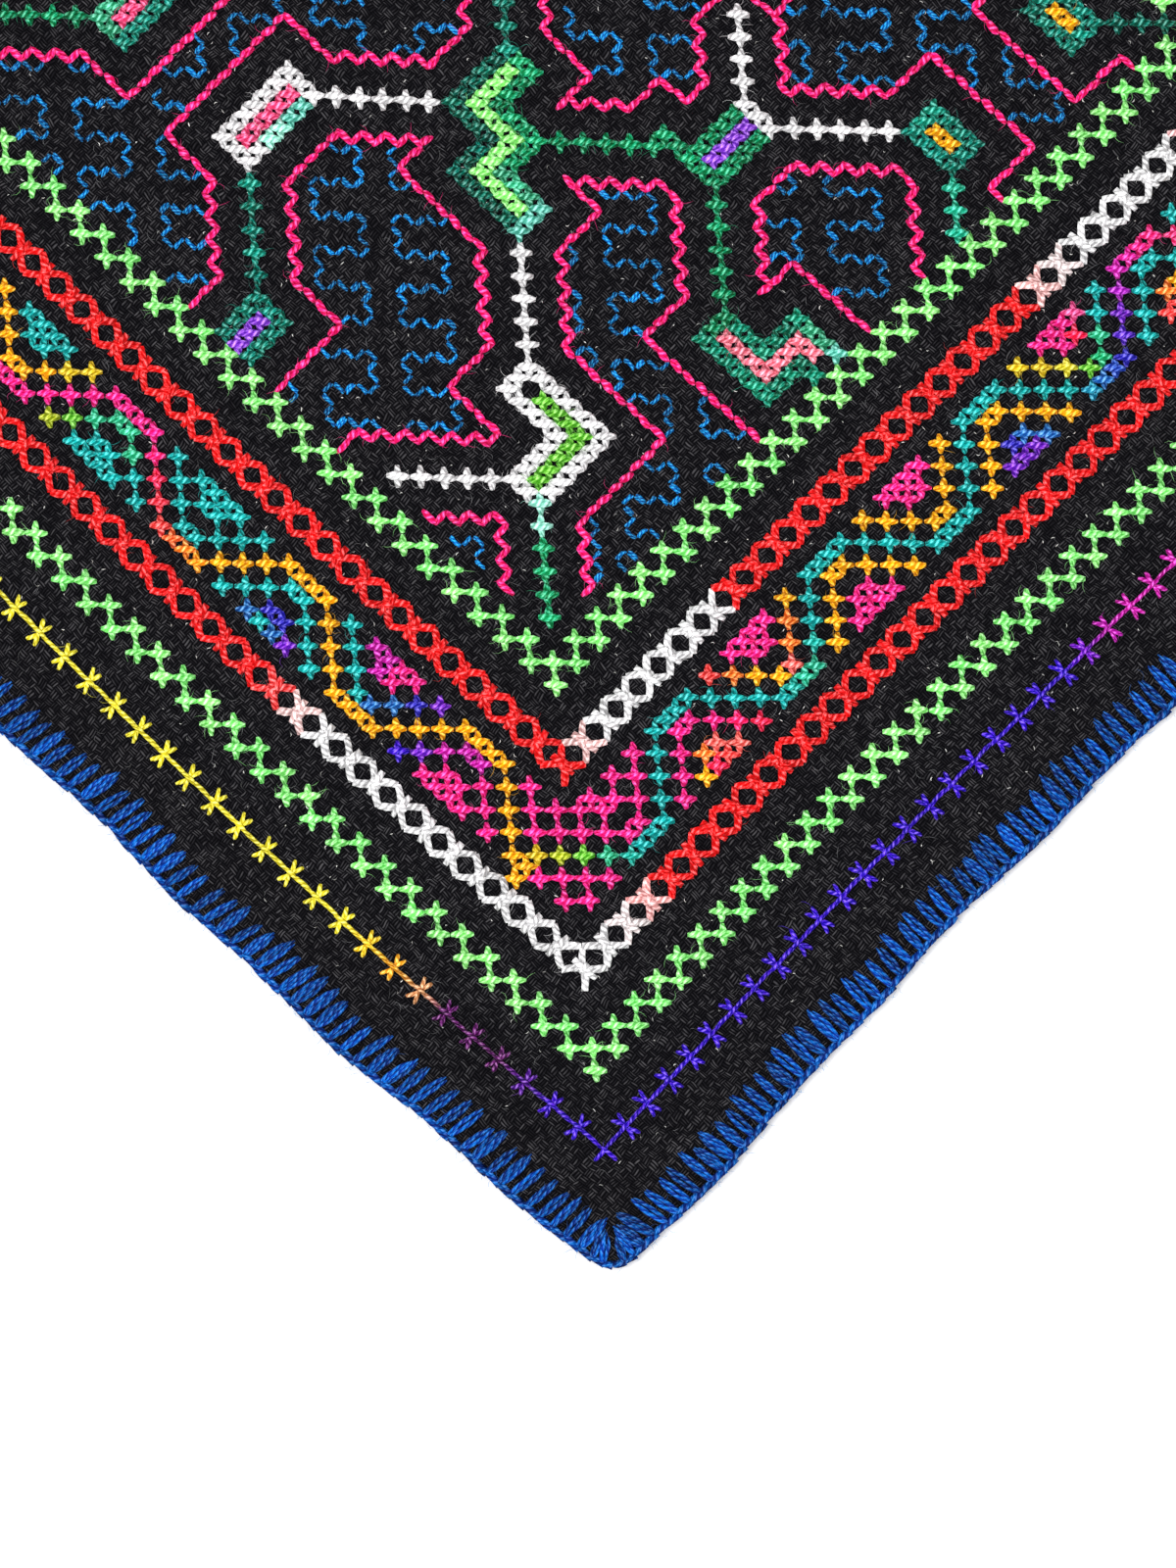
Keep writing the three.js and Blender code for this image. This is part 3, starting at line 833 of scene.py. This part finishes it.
def sew_edging(top, under, rim):
    """Each tooth is two or three strands that swell apart between its ends, like a leaf."""
    blue = linear("royal")
    cloth_top = SHEET + LIFT
    for side in SIDES:
        length = side_length(side)
        pitch_aim = CELL_X if twin(side) == "south" else CELL_Y
        lean_near, lean_far = LEANS[twin(side)]
        count = round((length - 2 * FIRST_ROOT) / pitch_aim)
        pitch = (length - 2 * FIRST_ROOT) / count
        for k in range(count + 1):
            root = FIRST_ROOT + pitch * k + either_way(0.25)
            away = root if twin(side) == "south" else length - root
            lean = lean_far + (lean_near - lean_far) * math.exp(-away / LEAN_FADES)
            foot, reach = tooth_foot(root, length, lean + either_way(0.45))
            reach += random.uniform(-1.1, 0.5)
            tone = random.uniform(0.8, 1.15)
            fanned = min(root, length - root) < 3 * pitch
            number = 2 if fanned else random.choice((2, 2, 3))
            apart = 0.88 if number == 2 else 0.7
            for n in range(number):
                off = (n - (number - 1) / 2) * apart * random.uniform(0.92, 1.08)
                short = abs(off) * 0.6 + random.uniform(0, 0.6)
                inner = rim_place(side, foot + off * 0.5, reach - short)
                outer = rim_place(side, root + off * 0.4, RIM_DEPTH)
                bow = off * 0.6 + either_way(0.12)
                shine = tone * random.uniform(0.6, 1.25)
                inks = (blue * shine * 0.85, blue * shine)
                top.strand((inner, outer), (cloth_top, cloth_top + TOOTH_ARCH, TOOTH_HEAD),
                           TOOTH_STRAND, inks, bow, 0.35)
                if n < 2:
                    under.strand((inner, outer), BACK_HEIGHTS, BACK_STRAND, inks, bow, 0.35)
        for k in range(count + 2):
            middle = FIRST_ROOT + pitch * (k - 0.5)
            tone = random.uniform(0.55, 0.85)
            inks = (blue * tone, blue * tone)
            sway = either_way(0.14)
            for level, depth in RIM_CORES:
                first = max(middle - pitch * RIM_RUN, depth)
                last = min(middle + pitch * RIM_RUN, length - depth)
                start = rim_place(side, first, depth + sway + 0.16)
                end = rim_place(side, last, depth + sway - 0.16)
                rim.strand((start, end), (level, level + 0.12, level - 0.1), RIM_STRAND, inks,
                           either_way(0.15))


# Loose fibres: lint on the cloth, a haze round the yarn and pale flecks in the weave

LINT_HAIRS = 2300
LINT_THICK = 0.065
FLECKS = 2000
FUZZ_THICK = 0.07
HAZE_THICK = 0.05
HAZE_PITCH = 0.8
# Lint lies this many cells past the grid
LINT_PAST = 6


def lay_hair(work, x, y, z, length, thickness, ink, rise=0.35):
    angle = random.uniform(0, 2 * math.pi)
    dx, dy = length * math.cos(angle), length * math.sin(angle)
    work.strand(((x, y), (x + dx, y + dy)), (z, z + rise, z + rise * 0.6),
                (thickness, thickness), (ink, ink), either_way(0.35) * length)


def scatter_hairs(lint, haze):
    grey = np.array([0.2, 0.2, 0.21])
    pale = np.array([0.85, 0.84, 0.8])
    first, last = -LINT_PAST, CELLS + LINT_PAST
    for _ in range(LINT_HAIRS):
        i, j = random.uniform(first, last), random.uniform(first, last)
        x, y = place(i, j)
        tone = random.uniform(0.35, 1.3)
        lay_hair(lint, x, y, SHEET + lift_at(i, j), random.uniform(0.8, 2.6), LINT_THICK,
                 grey * tone)
    for _ in range(FLECKS):
        i, j = random.uniform(first, last), random.uniform(first, last)
        x, y = place(i, j)
        lay_hair(lint, x, y, SHEET + lift_at(i, j) + 0.06, random.uniform(0.3, 0.8),
                 random.uniform(0.13, 0.26), pale * random.uniform(0.3, 1.25), 0.04)
    for x, y, z, ink in FUZZ:
        lay_hair(haze, x, y, z + 0.1, random.uniform(0.6, 2.6), FUZZ_THICK, ink * 0.8)
    blue = linear("blue")
    for side in SIDES:
        length = side_length(side)
        for s in np.arange(2, length - 2, HAZE_PITCH):
            x, y = rim_place(side, s, random.uniform(-0.1, 0.9))
            lay_hair(haze, x, y, random.uniform(0.6, 2.0), random.uniform(0.8, 2.4), HAZE_THICK,
                     blue)


# Materials

def node(tree, kind, **settings):
    made = tree.nodes.new(kind)
    for key, value in settings.items():
        setattr(made, key, value)
    return made


def maths(tree, operation, a, b=None):
    """A Math node on two numbers or sockets."""
    made = node(tree, "ShaderNodeMath", operation=operation)
    for socket, value in zip(made.inputs, (a, b)):
        if isinstance(value, (int, float)):
            socket.default_value = value
        elif value is not None:
            tree.links.new(value, socket)
    return made.outputs[0]


def plus(tree, a, b):
    return maths(tree, "ADD", a, b)


def times(tree, a, b):
    return maths(tree, "MULTIPLY", a, b)


def new_group(name, inputs, outputs):
    tree = bpy.data.node_groups.new(name, "ShaderNodeTree")
    for label, kind in inputs:
        tree.interface.new_socket(label, in_out="INPUT", socket_type=kind)
    for label, kind in outputs:
        tree.interface.new_socket(label, in_out="OUTPUT", socket_type=kind)
    return tree, node(tree, "NodeGroupInput"), node(tree, "NodeGroupOutput")


def scaled_vector(tree, x, y, x_scale, y_scale):
    joined = node(tree, "ShaderNodeCombineXYZ")
    tree.links.new(times(tree, x, x_scale), joined.inputs[0])
    tree.links.new(times(tree, y, y_scale), joined.inputs[1])
    return joined.outputs[0]


def noise_at(tree, vector, scale=1.0, detail=1.0):
    noise = node(tree, "ShaderNodeTexNoise")
    noise.inputs["Scale"].default_value = scale
    noise.inputs["Detail"].default_value = detail
    tree.links.new(vector, noise.inputs["Vector"])
    return noise.outputs[0]


def smooth_step(tree, value, low, high):
    step = node(tree, "ShaderNodeMapRange", interpolation_type="SMOOTHSTEP")
    step.inputs["From Min"].default_value = low
    step.inputs["From Max"].default_value = high
    tree.links.new(value, step.inputs["Value"])
    return step.outputs[0]


# Yarns twisted together in each strand
PLIES = 2


def make_ply_group():
    """A plied yarn on (round, mm along): grooves between its plies, bright fibres and its top, as
    masks for painted shade and highlight.
    """
    tree, given, out = new_group(
        "ply twist",
        [("Vector", "NodeSocketVector"), ("Plies", "NodeSocketFloat"),
         ("Turns", "NodeSocketFloat")],
        [("Height", "NodeSocketFloat"), ("Groove", "NodeSocketFloat"),
         ("Glint", "NodeSocketFloat"), ("Crown", "NodeSocketFloat")],
    )
    split = node(tree, "ShaderNodeSeparateXYZ")
    tree.links.new(given.outputs["Vector"], split.inputs[0])
    u, v = split.outputs[0], split.outputs[1]
    round_share = times(tree, u, given.outputs["Plies"])
    phase = plus(tree, round_share, times(tree, v, given.outputs["Turns"]))
    loose = noise_at(tree, scaled_vector(tree, u, v, 3, 0.7))
    phase = plus(tree, phase, times(tree, loose, 0.9))
    # Crown is 1 on the strand's top and falls away down its sides: the mask for painted light on
    # top and painted shade on the sides
    crown = maths(tree, "SINE", times(tree, u, 2 * math.pi))
    crown = smooth_step(tree, crown, -0.3, 1)
    tree.links.new(crown, out.inputs["Crown"])
    ply = maths(tree, "ABSOLUTE", maths(tree, "SINE", times(tree, phase, math.pi)))
    slope = plus(tree, u, times(tree, v, 0.16))
    fibres = noise_at(tree, scaled_vector(tree, slope, v, 12, 1.3))
    height = plus(tree, ply, times(tree, fibres, 0.5))
    tree.links.new(height, out.inputs["Height"])
    # Groove: where painted shade darkens the yarn between its plies, with some fibres darker in
    # their own tone
    groove = maths(tree, "SUBTRACT", 1, ply)
    rough = times(tree, smooth_step(tree, fibres, 0.52, 0.34), 0.6)
    tree.links.new(plus(tree, groove, rough), out.inputs["Groove"])
    # Glint: painted highlights on fibres along the ply crests
    glint = times(tree, smooth_step(tree, fibres, 0.5, 0.66), ply)
    tree.links.new(glint, out.inputs["Glint"])
    return tree


# The basket weave: its blocks across a cell, and the threads side by side in a block
BLOCKS = 2
THREADS = 3


def make_weave_group():
    """A basket weave on cell coordinates: blocks of fine threads, crossing by turns."""
    tree, given, out = new_group(
        "basket weave",
        [("Vector", "NodeSocketVector")],
        [("Height", "NodeSocketFloat"), ("Shade", "NodeSocketFloat")],
    )
    vector = given.outputs["Vector"]
    wobble = maths(tree, "SUBTRACT", noise_at(tree, vector, 0.7), 0.5)
    shift = times(tree, wobble, 0.5)
    split = node(tree, "ShaderNodeSeparateXYZ")
    tree.links.new(vector, split.inputs[0])
    x = times(tree, plus(tree, split.outputs[0], shift), BLOCKS)
    y = times(tree, plus(tree, split.outputs[1], shift), BLOCKS)
    tiles = plus(tree, maths(tree, "FLOOR", x), maths(tree, "FLOOR", y))
    over = maths(tree, "FLOORED_MODULO", tiles, 2)
    under = maths(tree, "SUBTRACT", 1, over)

    def waves(value, count):
        scaled = times(tree, value, count * math.pi)
        return maths(tree, "ABSOLUTE", maths(tree, "SINE", scaled))

    def by_turns(along_x, along_y):
        return plus(tree, times(tree, along_x, over), times(tree, along_y, under))

    def threads(along, across):
        """The threads across a block, each in its own slowly varying tone, with painted shade in
        the gaps between threads and at the block's ends.
        """
        which = maths(tree, "FLOOR", times(tree, across, THREADS))
        tone = noise_at(tree, scaled_vector(tree, along, which, 0.45, 7.3))
        tone = times(tree, smooth_step(tree, tone, 0.36, 0.72), 0.6)
        # Painted shade: a thread darkens towards the block's ends, where it dips, and towards the
        # gaps beside it
        dip = maths(tree, "POWER", waves(along, 1), 0.25)
        ridge = times(tree, maths(tree, "POWER", waves(across, THREADS), 1.7), dip)
        return ridge, times(tree, ridge, plus(tree, tone, 0.36))

    def loose_threads(along, across):
        """Straight hairs that lie along the weave and over its blocks."""
        lines = noise_at(tree, scaled_vector(tree, along, across, 0.42, 6.5), 1, 1.5)
        return smooth_step(tree, lines, 0.58, 0.75)

    ridge_x, tone_x = threads(x, y)
    ridge_y, tone_y = threads(y, x)
    yarns = by_turns(ridge_x, ridge_y)
    fibres = by_turns(noise_at(tree, scaled_vector(tree, x, y, 0.5, 8), 1, 2),
                      noise_at(tree, scaled_vector(tree, x, y, 8, 0.5), 1, 2))
    hairs = plus(tree, loose_threads(x, y), loose_threads(y, x))
    height = plus(tree, yarns, times(tree, fibres, 0.6))
    height = plus(tree, height, times(tree, hairs, 0.4))
    tree.links.new(height, out.inputs["Height"])
    rough = plus(tree, times(tree, fibres, 1.4), 0.3)
    shade = times(tree, by_turns(tone_x, tone_y), rough)
    shade = plus(tree, shade, times(tree, hairs, 0.2))
    tree.links.new(shade, out.inputs["Shade"])
    return tree


def new_material(name, roughness, sheen, gloss):
    material = bpy.data.materials.new(name)
    material.use_nodes = True
    shader = material.node_tree.nodes["Principled BSDF"]
    shader.inputs["Roughness"].default_value = roughness
    shader.inputs["Sheen Weight"].default_value = sheen
    shader.inputs["Specular IOR Level"].default_value = gloss
    return material, material.node_tree, shader


def scaled_ink(tree, ink, shade):
    mix = node(tree, "ShaderNodeVectorMath", operation="SCALE")
    tree.links.new(ink, mix.inputs[0])
    tree.links.new(shade, mix.inputs["Scale"])
    return mix.outputs[0]


def add_bump(tree, shader, height, distance, strength):
    bump = node(tree, "ShaderNodeBump")
    bump.inputs["Distance"].default_value = distance
    bump.inputs["Strength"].default_value = strength
    tree.links.new(height, bump.inputs["Height"])
    tree.links.new(bump.outputs[0], shader.inputs["Normal"])


def make_yarn(name, ply, turns, depth, glint):
    """Yarn in its stitch's own ink, with painted shade deeper in the grooves and on the sides, and
    painted highlights on the fibres that catch light.
    """
    material, tree, shader = new_material(name, roughness=0.65, sheen=0.03, gloss=0.05)
    uv = node(tree, "ShaderNodeUVMap", uv_map="yarn")
    ink = node(tree, "ShaderNodeAttribute", attribute_name="ink")
    group = node(tree, "ShaderNodeGroup", node_tree=ply)
    group.inputs["Plies"].default_value = PLIES
    group.inputs["Turns"].default_value = turns
    tree.links.new(uv.outputs[0], group.inputs["Vector"])
    groove = group.outputs["Groove"]
    # Painted shade: the ink is deeper and darker in the grooves between the plies
    deeper = node(tree, "ShaderNodeGamma")
    tree.links.new(ink.outputs["Color"], deeper.inputs["Color"])
    tree.links.new(plus(tree, times(tree, groove, 0.85), 0.85), deeper.inputs["Gamma"])
    crown = group.outputs["Crown"]
    # Painted light and shade: darker in the grooves and on the strand's sides and underside,
    # lighter on glinting fibres and on its top
    shade = maths(tree, "SUBTRACT", 1.15, times(tree, groove, 0.5))
    shade = plus(tree, shade, times(tree, group.outputs["Glint"], 0.4))
    crown_shade = plus(tree, times(tree, crown, 0.5), 0.52)
    shade = times(tree, shade, crown_shade)
    # Pale inks take less of this painted shade
    lightness = node(tree, "ShaderNodeRGBToBW")
    tree.links.new(ink.outputs["Color"], lightness.inputs[0])
    pale = times(tree, maths(tree, "POWER", lightness.outputs[0], 2), 0.2)
    lifted = times(tree, maths(tree, "SUBTRACT", 1, shade), pale)
    shade = plus(tree, shade, maths(tree, "MAXIMUM", lifted, 0))
    colour = scaled_ink(tree, deeper.outputs[0], shade)
    # Painted highlights: glinting fibres on the strand's top are made paler
    lit = times(tree, group.outputs["Glint"], crown)
    bright = times(tree, lit, glint)
    paler = node(tree, "ShaderNodeVectorMath", operation="ADD")
    tree.links.new(colour, paler.inputs[0])
    tree.links.new(bright, paler.inputs[1])
    tree.links.new(paler.outputs[0], shader.inputs["Base Color"])
    add_bump(tree, shader, group.outputs["Height"], depth * MM, 0.9)
    return material


def make_fibre():
    material, tree, shader = new_material("loose fibre", roughness=0.7, sheen=0.1, gloss=0.2)
    uv = node(tree, "ShaderNodeUVMap", uv_map="yarn")
    ink = node(tree, "ShaderNodeAttribute", attribute_name="ink")
    shade = plus(tree, noise_at(tree, uv.outputs[0], 3), 0.5)
    tree.links.new(scaled_ink(tree, ink.outputs["Color"], shade), shader.inputs["Base Color"])
    return material


def make_cloth_material(weave):
    material, tree, shader = new_material("black weave", roughness=0.9, sheen=0, gloss=0.03)
    uv = node(tree, "ShaderNodeUVMap", uv_map="cells")
    group = node(tree, "ShaderNodeGroup", node_tree=weave)
    tree.links.new(uv.outputs[0], group.inputs["Vector"])
    ramp = node(tree, "ShaderNodeValToRGB")
    ramp.color_ramp.elements[0].color = (0.0008, 0.0008, 0.0013, 1)
    middle = ramp.color_ramp.elements.new(0.35)
    middle.color = (0.0088, 0.0083, 0.0105, 1)
    ramp.color_ramp.elements[2].color = (0.085, 0.082, 0.088, 1)
    tree.links.new(group.outputs["Shade"], ramp.inputs[0])
    tree.links.new(ramp.outputs[0], shader.inputs["Base Color"])
    add_bump(tree, shader, group.outputs["Height"], 0.2 * MM, 0.8)
    return material


# The sheet of cloth: a grid moved into place, its border lifted over the yarn beneath it

CLOTH_DIVISIONS = 120
CLOTH_RIPPLE = 0.05
# The cloth's lower face stays this far above the floor
CLOTH_CLEAR = 0.1


def make_cloth(material):
    deselect()
    bpy.ops.mesh.primitive_grid_add(x_subdivisions=CLOTH_DIVISIONS,
                                    y_subdivisions=CLOTH_DIVISIONS, size=1)
    cloth = bpy.context.object
    cloth.name = cloth.data.name = "woven_cloth"
    span_x = WIDTH - 2 * CLOTH_INSET
    span_y = HEIGHT - 2 * CLOTH_INSET
    layer = cloth.data.uv_layers.new(name="cells")
    cells = []
    for vertex in cloth.data.vertices:
        x = CLOTH_INSET + (vertex.co.x + 0.5) * span_x
        y = CLOTH_INSET + (vertex.co.y + 0.5) * span_y
        i, j = rim_cell(x, y)
        cells.append((i, j))
        px, py = place(i, j)
        ripple = CLOTH_RIPPLE * math.sin(x / 13) * math.sin(y / 11)
        vertex.co = (px * MM, py * MM, (SHEET + lift_at(i, j) + ripple) * MM)
    for loop in cloth.data.loops:
        layer.data[loop.index].uv = cells[loop.vertex_index]
    bpy.ops.object.shade_smooth()
    solidify = cloth.modifiers.new("thickness", "SOLIDIFY")
    solidify.thickness = (SHEET - CLOTH_CLEAR) * MM
    solidify.offset = -1
    bpy.ops.object.modifier_apply(modifier="thickness")
    cloth.data.materials.append(material)
    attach(cloth, "root")
    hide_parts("cloth")
    return cloth


# The floor, the lights and the camera, in metres

FLOOR_SIZE = 6
FLOOR_GAP = 0.0001
SKY_LIGHT = 0.65


def make_floor():
    deselect()
    bpy.ops.mesh.primitive_plane_add(size=FLOOR_SIZE, location=(0, 0, -FLOOR_GAP))
    floor = bpy.context.object
    floor.name = "floor"
    material, _, shader = new_material("pale floor", roughness=0.9, sheen=0, gloss=0.2)
    shader.inputs["Base Color"].default_value = (0.95, 0.95, 0.96, 1)
    floor.data.materials.append(material)


def make_light(name, place_at, size, power):
    data = bpy.data.lights.new(name, "AREA")
    data.size = size
    data.energy = power
    lamp = bpy.data.objects.new(name, data)
    lamp.location = place_at
    lamp.rotation_euler = (-Vector(place_at)).to_track_quat("-Z", "Y").to_euler()
    bpy.context.scene.collection.objects.link(lamp)


def make_camera():
    data = bpy.data.cameras.new("camera")
    data.lens = LENS
    data.clip_end = 50
    camera = bpy.data.objects.new("camera", data)
    x, y = place(*VIEW_CELL)
    distance = VIEW_HEIGHT * MM * LENS / data.sensor_width
    camera.location = (x * MM, y * MM, distance)
    camera.rotation_euler = (0, 0, math.radians(-VIEW_TURN))
    bpy.context.scene.collection.objects.link(camera)
    bpy.context.scene.camera = camera


# The work

ply = make_ply_group()
weave = make_weave_group()
thick_yarn = make_yarn("embroidery yarn", ply, turns=0.8, depth=0.2, glint=0.14)
fine_yarn = make_yarn("fine thread", ply, turns=1.2, depth=0.12, glint=0.09)
edge_yarn = make_yarn("edging yarn", ply, turns=0.42, depth=0.12, glint=0.07)
fibre = make_fibre()
cloth = make_cloth(make_cloth_material(weave))


def nodes_like(*starts):
    return [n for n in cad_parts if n.startswith(starts)]


def border_piece(name, shape, fuzz, sew, slot_name, *starts):
    work = Sewing(name, shape, fuzz)
    for side in SIDES:
        sew(work, side)
    work.finish(thick_yarn, nodes_like(*starts))


border_piece("stem_line", EVEN, 0.2, sew_stem, "stem", "stem_")
border_piece("outer_zigzag", PLUMP, 2.0,
             lambda work, side: sew_zigzag(work, side, *OUTER_ZIGZAG),
             "zigzag", "zigzag_outer_")
border_piece("inner_zigzag", PLUMP, 2.0,
             lambda work, side: sew_zigzag(work, side, *INNER_ZIGZAG),
             "zigzag", "zigzag_inner_")
border_piece("outer_double_crosses", CHAIN, 0.4,
             lambda work, side: sew_double_crosses(work, side, OUTER_CROSSES_ROW, OUTER_INKS),
             "crosses_white", "crosses_outer_")
border_piece("inner_double_crosses", CHAIN, 0.4,
             lambda work, side: sew_double_crosses(work, side, INNER_CROSSES_ROW, INNER_INKS),
             "crosses_red", "crosses_inner_")
border_piece("vine", PLUMP, 0.6, sew_vine_side, "vine", "vine_")

motifs = Sewing("field_motifs", PLUMP, 1.8)
sew_motifs(motifs)
motifs.finish(thick_yarn, nodes_like("motif"))

pink = Sewing("pink_lines", GRAIN, 0.9)
sew_lines(pink, "pink", unit_steps(PINK_BOTH, PINK_ONCE))
pink.finish(thick_yarn, nodes_like("line_"))

fine = Sewing("blue_filling", THIN)
sew_fine_lines(fine, unit_steps(BLUE_BOTH, BLUE_ONCE))
fine.finish(fine_yarn)

edge_top = Sewing("edging_face", LONG, 0.6)
edge_under = Sewing("edging_back", THIN)
edge_rim = Sewing("edging_rim", CHAIN)
sew_edging(edge_top, edge_under, edge_rim)
edge_top.finish(edge_yarn, nodes_like("edging_"))
edge_under.finish(edge_yarn)
edge_rim.finish(edge_yarn)

lint = Sewing("lint", HAIR)
haze = Sewing("yarn_haze", HAIR)
scatter_hairs(lint, haze)
lint.finish(fibre)
haze.finish(fibre)

make_floor()
make_camera()
make_light("key", (-0.7, 0.4, 1.85), size=1.2, power=32)
make_light("fill", (1.0, -0.8, 1.8), size=1.6, power=12)
world = bpy.data.worlds.new("studio")
bpy.context.scene.world = world
world.use_nodes = True
world.node_tree.nodes["Background"].inputs[0].default_value = (1, 1, 1, 1)
world.node_tree.nodes["Background"].inputs[1].default_value = SKY_LIGHT
bpy.context.scene.view_settings.view_transform = "Standard"
